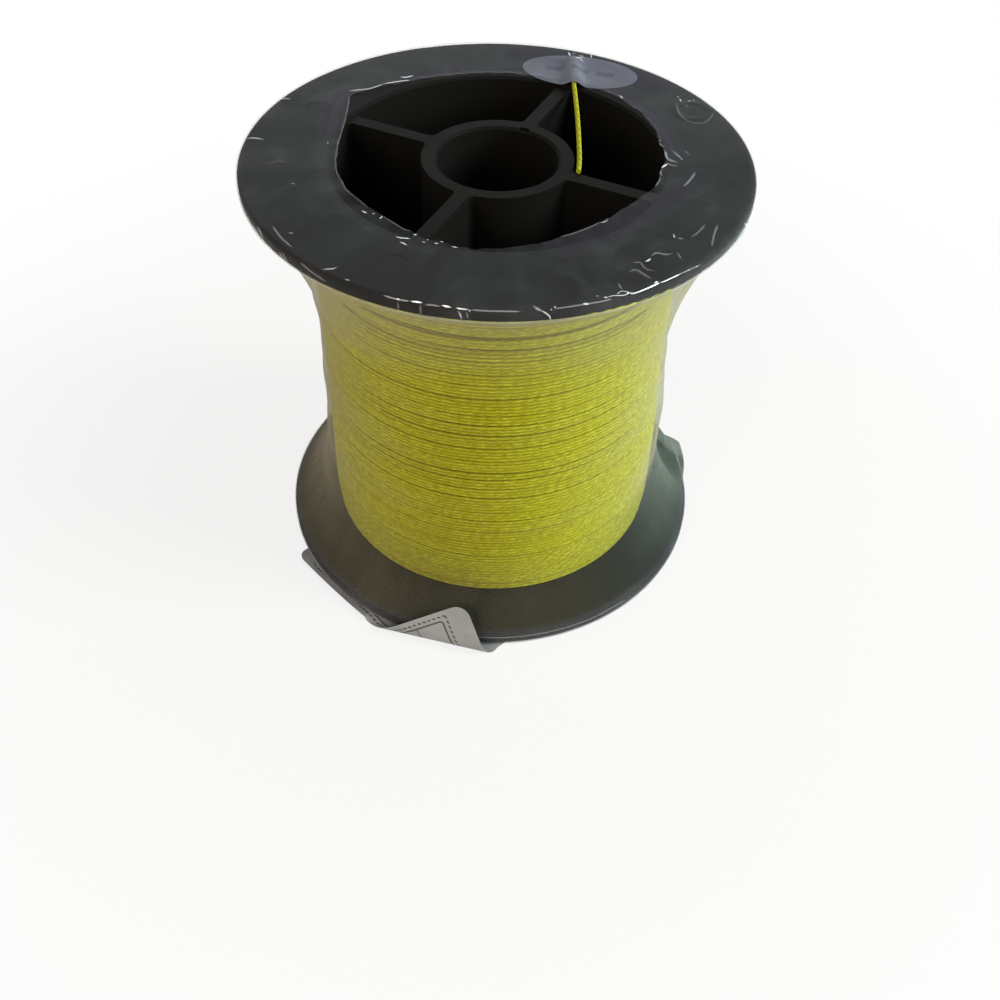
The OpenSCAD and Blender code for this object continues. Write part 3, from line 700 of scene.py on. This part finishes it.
def makePleats(rows):     # thin flattened folds that catch the light; their white colour is a painted highlight
    verts, faces, strengths = [], [], []
    for width, strength, *route in pleats:
        spots = [filmPlace(rows, *spot) for spot in zip(route[::2], route[1::2])]
        line = smoothRoute([spot[0] for spot in spots], 5)
        outs = smoothRoute([spot[1] for spot in spots], 5)
        length = sum((b - a).length for a, b in zip(line, line[1:]))
        run, first = 0.0, len(verts)
        for i, middle in enumerate(line):
            heading = (line[min(i + 1, len(line) - 1)] - line[max(i - 1, 0)]).normalized()
            run += (middle - line[i - 1]).length if i else 0.0
            thin = clamp(min(run, length - run) / min(width * 2.5, length / 2)) ** 0.7
            half = width / 2 * max(thin, 0.15)
            side = heading.cross(outs[i]).normalized()
            for k in range(6):
                angle = pi * k / 3
                lift = film["thickness"] / 2 + 0.4 * half * sin(angle)
                verts.append(middle + half * cos(angle) * side + lift * outs[i])
                strengths.append(strength * (0.5 + 0.5 * thin))
        for i in range(len(line) - 1):
            for k in range(6):
                a, b = first + 6 * i + k, first + 6 * i + (k + 1) % 6
                faces.append((a, b, b + 6, a + 6))
        faces.append([first + k for k in range(5, -1, -1)])
        faces.append([len(verts) - 6 + k for k in range(6)])
    obj = linkMesh("pleats", verts, [], faces)
    pointValues(obj.data, "fold", strengths)
    faceOutwards(obj)
    return obj


def sheetLook(row, degrees, place):     # veil, mist, its tint, and whether it is the side
    z, zone, t = row[1:]
    tint = film["bandTint"]
    if zone == "top":
        return 0.0, mistAt(place), tint, 0.0
    if zone == "rim":
        under = smoothStep(topZ - 1.5, topZ - 1.77, z)
        return 0.1 + 4.4 * under * (1 - 0.35 * smoothStep(topZ - 1.8, topZ - 2.0, z)), 0.0, tint, 0.3 * under
    if zone == "lap":
        return 0.3, 0.0, tint, 0.0
    if zone == "lowRim":
        return (0.4, 0.5, film["hemTint"], 0.0) if z < baseZ + 0.3 else (0.4, 0.0, tint, 0.0)
    low = smoothStep(0.72, 0.95, t)
    dusty = 0.72 + 0.95 * bump(turnBetween(degrees, -155), 0, 38) + 0.45 * bump(degrees, -35, 35)
    veil = 0.05 + 0.75 * smoothStep(0.3, 0.06, t) + 1.4 * dusty * low
    # the pocket and the low film around it take the ear's dark tint: painted shade
    mist = 0.12 * bump(degrees, -30, 38) * low + 0.36 * bump(degrees, -14, 13) * smoothStep(14, 9, z)
    return (veil, mist, film["earPaintedShade"], 1.0) if mist > 0.01 else (veil, 0.0, tint, 1.0)


def makeFilm():
    rows = filmProfile()
    obj = linkMesh("clear_wrap", [(30 + 0.05 * i, 0, 0) for i in range(len(rows))],
                   [(i, i + 1) for i in range(len(rows) - 1)], [])
    mesh = obj.data
    pointValues(mesh, "ring", range(len(rows)))
    editMode(obj)
    bpy.ops.mesh.spin(steps=film["steps"], angle=2 * pi, center=(0, 0, 0), axis=(0, 0, 1))
    bpy.ops.mesh.select_all(action="SELECT")
    bpy.ops.mesh.remove_doubles(threshold=0.001 * mm)
    objectMode()
    ring = mesh.attributes["ring"]
    looks = []
    for v in mesh.vertices:
        row = rows[round(ring.data[v.index].value)]
        a = atan2(v.co.y, v.co.x)
        v.co = shapeFilm(row, a) * mm
        looks.append(sheetLook(row, a * 180 / pi, v.co / mm))
    mesh.attributes.remove(ring)
    veil, mist, tint, side = zip(*looks)
    pointValues(mesh, "veil", veil)
    pointValues(mesh, "mist", mist)
    pointValues(mesh, "side", side)
    pointValues(mesh, "mistTint", [c for t in tint for c in t], "FLOAT_COLOR", "color")
    pointValues(mesh, "fold", [0.0] * len(looks))
    faceOutwards(obj)
    thicken(obj, film["thickness"])
    folds = makePleats(rows)
    pick(obj)
    folds.select_set(True)
    bpy.ops.object.join()
    smooth(obj, 50)
    return obj


wrap = makeFilm()
print("film shaped")


# oval sticker on the top flange

sticker = {
    "length": 19, "width": 11, "middle": (21.64, 20.94), "turn": -33, "thickness": 0.08,
    "corners": 120, "lift": 0.05, "bridge": (0.86, 1.35), "wave": 0.01,
    "stripSpan": 19.6, "stripsAcross": 46, "stripsAlong": 22,
}


def makeSticker():
    obj = addNew(bpy.ops.mesh.primitive_circle_add, "oval_paper", vertices=sticker["corners"], radius=1,
                 fill_type="NGON", location=(0, 0, 0))
    obj.scale = (sticker["length"] / 2 * mm, sticker["width"] / 2 * mm, 1)
    obj.rotation_euler.z = radians(sticker["turn"])
    obj.location = (sticker["middle"][0] * mm, sticker["middle"][1] * mm, (topZ + sticker["lift"]) * mm)
    settle(obj)
    ax, ay = ridge["from"]
    across = Vector((ridge["to"][1] - ay, ax - ridge["to"][0], 0)).normalized()
    ahead = Vector((-across.y, across.x, 0))
    middle = Vector((sticker["middle"][0], sticker["middle"][1], topZ)) * mm
    for direction, cuts in ((across, sticker["stripsAcross"]), (ahead, sticker["stripsAlong"])):
        cutAcross(obj, direction, [middle + direction * (k - (cuts - 1) / 2) * sticker["stripSpan"] / cuts * mm
                                   for k in range(cuts)])
    c, s = cos(radians(-sticker["turn"])), sin(radians(-sticker["turn"]))
    mapSheet(obj, lambda p: (((p - middle).x * c - (p - middle).y * s) / mm,
                             ((p - middle).x * s + (p - middle).y * c) / mm))
    for v in obj.data.vertices:
        x, y = v.co.x / mm, v.co.y / mm
        wave = sticker["wave"] * (1 + fuzz(x * 0.4, y * 0.4, 7))
        v.co.z += (ridgeLift(x, y, *sticker["bridge"]) + wave) * mm
    thicken(obj, sticker["thickness"])
    smooth(obj, 50)
    return obj


oval = makeSticker()


# base label with its rolled corner

label = {
    "length": 59.98, "width": 40, "round": 2.5, "thickness": 0.1,
    "turn": -155, "middle": (8.25, 8.25),
    "foldTurn": 30.9, "foldR": 37.0, "curlR": 1.8, "curlDegrees": 124.8,
    "lipR": 37.8, "lipRise": 0.5,     # the free corner stands up beside the rim
    "dent": 0.1, "dentAt": 5.2, "dentWidth": 0.45, "dentFrom": (13, 18),
    "rollStrip": 0.32, "rollStrips": 40, "flatStrip": 3.0,
}


def rollPoint(x, y):     # from the flat label's own place to the rolled one, in millimetres
    c, s = cos(radians(label["foldTurn"])), sin(radians(label["foldTurn"]))
    d, along = x * c + y * s, y * c - x * s
    z = label["thickness"] / 2
    past = d - label["foldR"]
    if past < 0:
        z += label["lipRise"] * max(hypot(x, y) - label["lipR"], 0)
    else:
        z -= label["dent"] * bump(past, label["dentAt"], label["dentWidth"]) * smoothStep(
            *label["dentFrom"], y - label["middle"][1])
    if past > 0:
        bend = min(past / label["curlR"], radians(label["curlDegrees"]))
        rest = past - label["curlR"] * bend
        r = label["curlR"] - z
        d = label["foldR"] + r * sin(bend) + rest * cos(bend)
        z = label["curlR"] - r * cos(bend) + rest * sin(bend)
    a = radians(label["turn"] + label["foldTurn"])
    return Vector((d * cos(a) - along * sin(a), d * sin(a) + along * cos(a), z))


def makeLabel():
    obj = addNew(bpy.ops.mesh.primitive_plane_add, "base_paper", size=1, location=(0, 0, 0))
    obj.scale = (label["length"] * mm, label["width"] * mm, 1)
    obj.location = (label["middle"][0] * mm, label["middle"][1] * mm, 0)
    settle(obj)
    editMode(obj)
    bpy.ops.mesh.bevel(offset=label["round"] * mm, segments=8, affect="VERTICES")
    objectMode()
    normal = polar(label["foldTurn"], 1)
    ahead = Vector((-normal.y, normal.x, 0))
    cutAcross(obj, normal, [normal * (label["foldR"] - 0.2 + label["rollStrip"] * k) * mm
                            for k in range(label["rollStrips"])])
    cutAcross(obj, ahead, [ahead * k * label["flatStrip"] * mm for k in range(-14, 14)])
    mapSheet(obj, lambda p: (p.x / mm - label["middle"][0], p.y / mm - label["middle"][1]))
    for v in obj.data.vertices:
        v.co = rollPoint(v.co.x / mm, v.co.y / mm) * mm
    thicken(obj, label["thickness"])
    smooth(obj, 50)
    return obj


basePaper = makeLabel()
print("papers shaped")


# shader groups

def makeGrainGroup():     # fine spark-eroded grain and faint cloudiness
    tree, nb, takes, gives = newGroup("mouldGrain", "Vector", ["Height", "Cloud"], Scale=1.0)
    fine = nb.noise(takes["Vector"], nb.times(takes["Scale"], 12000.0), 2.0, 0.6)
    coarse = nb.noise(takes["Vector"], nb.times(takes["Scale"], 900.0), 3.0)
    nb.plug(nb.plus(fine, nb.times(coarse, 0.6)), gives["Height"])
    nb.plug(nb.noise(takes["Vector"], nb.times(takes["Scale"], 120.0), 3.0), gives["Cloud"])
    return tree


def makeScuffGroup():     # thin scratches that run every way, and rubbed patches
    tree, nb, takes, gives = newGroup("scuffs", "Vector", ["Mask"], Amount=0.5)
    masks = []
    for turn, shift in ((0.4, 0.0), (1.7, 3.1), (2.6, 7.7)):
        line = nb.mapping(takes["Vector"], (260, 2600, 900), (shift, 0, 0), (0, 0, turn))
        masks.append(nb.span(nb.noise(line, 1.0, 2.0), 0.66, 0.74))
    lines = nb.most(nb.most(masks[0], masks[1]), masks[2])
    patch = nb.span(nb.noise(takes["Vector"], 240.0, 4.0), 0.45, 0.7)
    nb.plug(nb.math("MULTIPLY", nb.times(lines, patch), takes["Amount"], True), gives["Mask"])
    return tree


def makeBraidGroup():     # crossing carriers of the braid, from the map along the line; Valley, Flank, Dip and Speck are masks for painted shade and painted highlights
    tree, nb, takes, gives = newGroup(
        "braid", "Map", ["Height", "Valley", "Flank", "Dip", "Drift", "Speck"])
    u, v, _ = nb.split(takes["Map"])
    wobble = nb.times(nb.minus(nb.noise(takes["Map"], 0.9, 2.0), 0.5), 1.3)
    ahead = nb.times(nb.plus(u, wobble), pi)
    turned = nb.times(v, 4 * pi)
    left = nb.absolute(nb.math("SINE", nb.plus(ahead, turned)))
    right = nb.absolute(nb.math("SINE", nb.minus(ahead, turned)))
    top = nb.most(left, right)
    beads = nb.plus(nb.times(ahead, 2.0), nb.times(v, 5.0))
    lump = nb.plus(nb.times(nb.math("SINE", beads), 0.5), 0.5)
    nb.plug(nb.plus(nb.times(top, 0.7), nb.times(lump, 0.6)), gives["Height"])
    nb.plug(nb.span(top, 0.92, 0.62), gives["Valley"])
    patch = nb.span(nb.noise(nb.mapping(takes["Map"], (0.09, 0.0, 0.0)), 1.0, 2.0), 0.35, 0.6, 0.45, 1.0)
    nb.plug(nb.times(nb.minus(1.0, lump), patch), gives["Dip"])
    nb.plug(nb.span(nb.math("COSINE", nb.times(v, 2 * pi)), 0.93, 0.5), gives["Flank"])
    nb.plug(nb.noise(nb.mapping(takes["Map"], (0.011, 0.0, 0.0)), 1.0, 4.0, 0.62), gives["Drift"])
    nb.plug(nb.noise(nb.mapping(takes["Map"], (2.3, 1.6, 0.0)), 1.0, 2.0), gives["Speck"])
    return tree


def makeCreaseGroup():     # folds and crackle of thin film, whose crease lines also carry painted highlights
    tree, nb, takes, gives = newGroup("filmCreases", "Vector", ["Height", "Lines", "Haze"])
    waves = nb.make("TexNoise", Vector=takes["Vector"], Scale=160)["Color"]
    bent = nb.make("VectorMath", waves, (0.006, 0.006, 0.006), takes["Vector"], operation="MULTIPLY_ADD")[0]
    cells = nb.make("TexVoronoi", feature="DISTANCE_TO_EDGE", Vector=bent, Scale=120)
    line = nb.span(cells["Distance"], 0.035, 0.0)
    x, y, z = nb.split(takes["Vector"])
    angle = nb.math("ARCTAN2", y, x)
    r = nb.math("SQRT", nb.plus(nb.times(x, x), nb.times(y, y)))
    round1 = nb.make("CombineXYZ", nb.times(angle, 9.0), nb.times(r, 90.0), nb.times(z, 30.0))[0]
    patch = nb.span(nb.noise(round1, 0.7, 3.0), 0.62, 0.74)
    nb.plug(nb.times(line, patch), gives["Lines"])
    soft = nb.noise(takes["Vector"], 210.0, 3.0)
    nb.plug(nb.plus(nb.times(soft, 0.7), nb.times(nb.times(line, patch), 0.5)), gives["Height"])
    nb.plug(nb.noise(round1, 0.45, 4.0, 0.6), gives["Haze"])
    return tree


grainGroup = makeGrainGroup()
scuffGroup = makeScuffGroup()
braidGroup = makeBraidGroup()
creaseGroup = makeCreaseGroup()


# materials

def spoolPlastic():
    look = {
        "dark": (0.0082, 0.0085, 0.008, 1), "cloud": (0.0105, 0.0108, 0.0102, 1),
        "rubbed": (0.03, 0.031, 0.03, 1),
    }
    material, nb, surface = newMaterial("spoolPlastic")
    where = nb.coords()
    grain = nb.use(grainGroup, Vector=where, Scale=1.0)
    scuff = nb.use(scuffGroup, Vector=where, Amount=0.2)
    colour = nb.mix(scuff["Mask"], nb.mix(grain["Cloud"], look["dark"], look["cloud"]), look["rubbed"])
    rough = nb.plus(nb.span(grain["Cloud"], 0.3, 0.7, 0.42, 0.52), nb.times(scuff["Mask"], 0.1))
    nb.plug(nb.make("BsdfPrincipled", Base_Color=colour, Roughness=rough, Specular_IOR_Level=0.03,
                    Normal=nb.relief(grain["Height"], 0.02, 0.000003))[0], surface)
    return material


# valley is the colour of the painted shade, glint the colour of the painted highlights, speckle the strength of
# both
def braidedLine(name, bright, shade, valley, glint, speckle=1.0):
    material, nb, surface = newMaterial(name)
    braid = nb.use(braidGroup, Map=nb.coords("UV"))
    colour = nb.mix(nb.span(braid["Drift"], 0.35, 0.65), bright, shade)
    # bright specks mixed toward the glint colour are painted highlights on the braid's lumps
    colour = nb.mix(nb.span(braid["Speck"], 0.52, 0.66, 0.0, 0.55 * speckle), colour, glint)
    # painted shade: darker in the braid's valleys, under its dipped lumps, in dark specks and on the flanks between
    # turns
    paintedShade = nb.plus(nb.times(braid["Valley"], 0.3 * speckle), nb.times(braid["Dip"], 0.3 * speckle))
    paintedShade = nb.plus(paintedShade, nb.span(braid["Speck"], 0.46, 0.34, 0.0, 0.4 * speckle))
    colour = nb.mix(nb.most(paintedShade, nb.times(braid["Flank"], 0.8)), colour, valley)
    rough = nb.span(braid["Height"], 0.6, 1.0, 0.75, 0.55)
    nb.plug(nb.make("BsdfPrincipled", Base_Color=colour, Roughness=rough, Specular_IOR_Level=0.15,
                    Normal=nb.relief(braid["Height"], 0.8, 0.00025))[0], surface)
    return material


def clearFilm():
    look = {
        # the bluish colour of the film on the top is partly real haze, partly painted reflection
        "clear": (0.99, 0.99, 0.985, 1), "body": (0.41, 0.395, 0.30, 1), "flat": (0.76, 0.81, 0.94, 1),
        # the white for the pleats is a painted highlight
        "fold": (0.95, 0.95, 0.95, 1), "glint": (0.88, 0.93, 1.0, 1),
    }
    material, nb, surface = newMaterial("clearFilm")
    crease = nb.use(creaseGroup, Vector=nb.coords())
    veil, mist, side, fold = [nb.make("Attribute", attribute_name=name)["Fac"]
                              for name in ("veil", "mist", "side", "fold")]
    tint = nb.make("Attribute", attribute_name="mistTint")["Color"]
    normal = nb.relief(crease["Height"], 0.35, 0.0003)
    front = nb.minus(1.0, nb.make("NewGeometry")["Backfacing"])

    facing = nb.make("LayerWeight", Blend=0.5)["Facing"]
    slant = nb.times(nb.math("POWER", facing, 5.0), 0.6)
    turned = nb.times(nb.math("POWER", facing, 2.8), 0.92)
    slant = nb.most(slant, nb.times(turned, side))
    cloudy = nb.plus(nb.times(veil, nb.span(crease["Haze"], 0.3, 0.7, 0.065, 0.09)), mist)
    # on the top the milky film's bluish haze also carries the sheen: partly real haze, partly painted reflection
    wisps = nb.span(nb.noise(nb.coords(), 62.0, 3.0, 0.55, 1.2), 0.5, 0.68, 0.0, 0.019)
    hazeAndPaintedSheen = nb.plus(nb.span(crease["Haze"], 0.35, 0.7, 0.0215, 0.041), wisps)
    hazeAndPaintedSheen = nb.times(hazeAndPaintedSheen, nb.minus(1.0, side))
    body = nb.plus(nb.plus(hazeAndPaintedSheen, cloudy), slant)
    # crease lines made more opaque and whiter: painted highlights along the creases
    body = nb.plus(body, nb.times(crease["Lines"], 0.05))
    # the pleats are made opaque and white: painted highlights; the extra mirror gloss they get below is real
    # reflection
    body = nb.math("ADD", body, nb.times(fold, 0.8), True)
    sheetColour = nb.mix(nb.span(mist, 0.0, 0.05), nb.mix(side, look["flat"], look["body"]), tint)
    milkyColour = nb.mix(nb.most(fold, nb.times(crease["Lines"], 0.6)), sheetColour, look["fold"])
    milky = nb.make("BsdfPrincipled", Base_Color=milkyColour, Specular_IOR_Level=0.0, Normal=normal,
                    Roughness=nb.span(crease["Haze"], 0.3, 0.7, 0.3, 0.42))
    sheet = nb.blend(nb.times(body, front), nb.make("BsdfTransparent", look["clear"])[0], milky[0])

    fresnel = nb.make("Fresnel", IOR=1.45, Normal=normal)[0]
    gloss = nb.plus(0.002, nb.most(nb.minus(fresnel, 0.04), 0.0))
    gloss = nb.times(nb.math("MINIMUM", nb.times(gloss, 0.15), 0.08), side)
    gloss = nb.times(nb.plus(gloss, nb.times(nb.times(fold, fold), 0.6)), front)
    mirror = nb.make("BsdfPrincipled", Base_Color=look["glint"], Metallic=1.0, Roughness=0.07, Normal=normal)
    nb.plug(nb.blend(gloss, sheet, mirror[0]), surface)
    return material


def frameLine(nb, x, y, halfW, halfH, corner, width):     # outline of a rounded box, 1 on the line
    qx = nb.minus(nb.absolute(x), halfW - corner)
    qy = nb.minus(nb.absolute(y), halfH - corner)
    outX, outY = nb.most(qx, 0.0), nb.most(qy, 0.0)
    far = nb.math("SQRT", nb.plus(nb.times(outX, outX), nb.times(outY, outY)))
    near = nb.math("MINIMUM", nb.most(qx, qy), 0.0)
    distance = nb.minus(nb.plus(far, near), corner)
    return nb.span(nb.absolute(distance), width, width * 0.55)


def paper(name, light, dark, drawPrint):
    material, nb, surface = newMaterial(name)
    fibres = nb.noise(nb.coords(), 3800.0, 4.0, 0.65)
    clouds = nb.noise(nb.coords(), 220.0, 3.0)
    colour = nb.mix(nb.span(clouds, 0.3, 0.7), light, dark)
    colour = nb.mix(nb.times(nb.span(fibres, 0.62, 0.75), 0.25), colour,
                    (light[0] * 0.8, light[1] * 0.8, light[2] * 0.8, 1))
    colour = drawPrint(nb, colour)
    nb.plug(nb.make("BsdfPrincipled", Base_Color=colour, Roughness=nb.span(clouds, 0.3, 0.7, 0.5, 0.62),
                    Specular_IOR_Level=0.4, Normal=nb.relief(fibres, 0.25, 0.00003))[0], surface)
    return material


def labelFrames(nb, colour):     # dashed outer frame, rounded inner frame with one divider
    x, y, _ = nb.split(nb.coords("UV"))
    dash = nb.math("GREATER_THAN", nb.math("FRACT", nb.times(nb.plus(x, y), 1.087)), 0.4)
    outer = nb.times(frameLine(nb, x, y, 29.05, 16.05, 0.4, 0.2), dash)
    inner = frameLine(nb, x, y, 28.3, 15.2, 0.6, 0.2)
    across = nb.times(nb.span(nb.absolute(nb.minus(y, 10.35)), 0.18, 0.1),
                      nb.math("LESS_THAN", nb.absolute(x), 28.3))
    ink = nb.most(nb.most(outer, inner), nb.times(across, 0.7))
    return nb.mix(nb.times(ink, 0.88), colour, (0.03, 0.03, 0.032, 1))


def stickerBars(nb, colour):     # a broken blue rule along the middle
    x, y, _ = nb.split(nb.coords("UV"))
    bars = None
    for place in (-4.2, 0.0, 4.2):
        left = nb.span(nb.absolute(nb.minus(x, place)), 1.55, 1.35)
        bars = left if bars is None else nb.most(bars, left)
    bars = nb.times(bars, nb.span(nb.absolute(y), 0.85, 0.65))
    return nb.mix(nb.times(bars, 0.75), colour, (0.02, 0.024, 0.10, 1))


plastic = spoolPlastic()
woundYellow = braidedLine(
    "woundLine", (0.585, 0.61, 0.012, 1), (0.50, 0.515, 0.010, 1), (0.33, 0.31, 0.005, 1), (0.80, 0.85, 0.05, 1))
tailYellow = braidedLine(
    "freeLine", (0.64, 0.68, 0.03, 1), (0.6, 0.62, 0.025, 1), (0.48, 0.49, 0.018, 1), (0.75, 0.8, 0.06, 1), 0.3)
# the buried layer's line is a darker copy of the wound line's colours: painted shade for the turns deep in the gaps
buriedYellowPaintedShade = braidedLine(
    "buriedLine", (0.50, 0.48, 0.008, 1), (0.43, 0.41, 0.007, 1), (0.30, 0.28, 0.005, 1), (0.56, 0.55, 0.01, 1))
filmLook = clearFilm()
# the white paper sticker is given a dim blue-grey: painted shade
stickerLookPaintedShade = paper("stickerPaperPaintedShade", (0.115, 0.128, 0.18, 1), (0.10, 0.112, 0.16, 1), stickerBars)
labelLook = paper("labelPaper", (0.365, 0.39, 0.42, 1), (0.325, 0.35, 0.38, 1), labelFrames)
tapeLook = paper("crepeTape", (0.55, 0.54, 0.44, 1), (0.48, 0.46, 0.36, 1), lambda nb, colour: colour)

for nodeName in ("upper_half", "lower_half"):
    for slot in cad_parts[nodeName].material_slots:
        slot.material = plastic

finishPiece(tail, tailYellow, "line_tail")
finishPiece(wound, woundYellow, "line_outer_layer")
finishPiece(buriedLine, buriedYellowPaintedShade, "line_core")
finishPiece(strip, tapeLook, "starting_tape")
finishPiece(wrap, filmLook, "shrink_film")
finishPiece(oval, stickerLookPaintedShade, "oval_sticker")
finishPiece(basePaper, labelLook, "base_label")
print("materials set")


# floor, lights and world

stage = {
    "floorSize": 6.0,
    "floorColour": (0.86, 0.86, 0.86, 1),
    "fade": (0.05, 0.17), "white": (0.82, 1.0),     # how white the floor gets away from the spool
    "footprint": (0.034, 0.0365),                   # full shadow inside
    "worldLight": 0.23,
    "worldColour": (0.96, 0.98, 1.0, 1),
    # name, place, height aimed at, size, watts, colour
    "lamps": [
        ("keyRight", (0.68, -0.39, 0.40), 0.03, 0.35, 7.9, (0.93, 1.0, 0.88)),
        ("fillLeft", (-0.6, -0.45, 0.35), 0.03, 0.4, 2.5, (1.0, 0.75, 0.52)),
        ("topBack", (0.1, 0.55, 0.75), 0.05, 0.3, 0.4, (0.9, 0.94, 1.0)),
    ],
}


def makeFloor():
    floor = addNew(bpy.ops.mesh.primitive_plane_add, "floor", size=stage["floorSize"], location=(0, 0, 0))
    material, nb, surface = newMaterial("paleFloor")
    away = nb.make("VectorMath", nb.coords(), operation="LENGTH")["Value"]
    plain = nb.times(nb.span(away, *stage["fade"], *stage["white"]), nb.span(away, *stage["footprint"]))
    seen = nb.make("LightPath")["Is Camera Ray"]
    nb.plug(nb.blend(nb.times(plain, seen), nb.make("BsdfDiffuse", stage["floorColour"])[0],
                     nb.make("Emission", (1, 1, 1, 1))[0]), surface)
    floor.data.materials.append(material)


def makeWorld():
    world = bpy.data.worlds.new("studio")
    scene.world = world
    world.use_nodes = True
    world.node_tree.nodes.clear()
    nb = NodeBuilder(world.node_tree)
    path = nb.make("LightPath")
    seen = nb.most(nb.most(path["Is Camera Ray"], path["Is Glossy Ray"]), path["Is Transmission Ray"])
    light = nb.make("Background", stage["worldColour"], stage["worldLight"])[0]
    nb.make("OutputWorld", nb.blend(seen, light, nb.make("Background", (1, 1, 1, 1), 1.0)[0]))


def makeLamps():
    for name, place, aimZ, size, watts, colour in stage["lamps"]:
        lamp = addNew(bpy.ops.object.light_add, name, type="AREA", location=place)
        lamp.data.size, lamp.data.energy, lamp.data.color = size, watts, colour
        lamp.rotation_euler = (Vector((0, 0, aimZ)) - Vector(place)).to_track_quat("-Z", "Y").to_euler()


makeFloor()
makeWorld()
makeLamps()
print("stage lit")
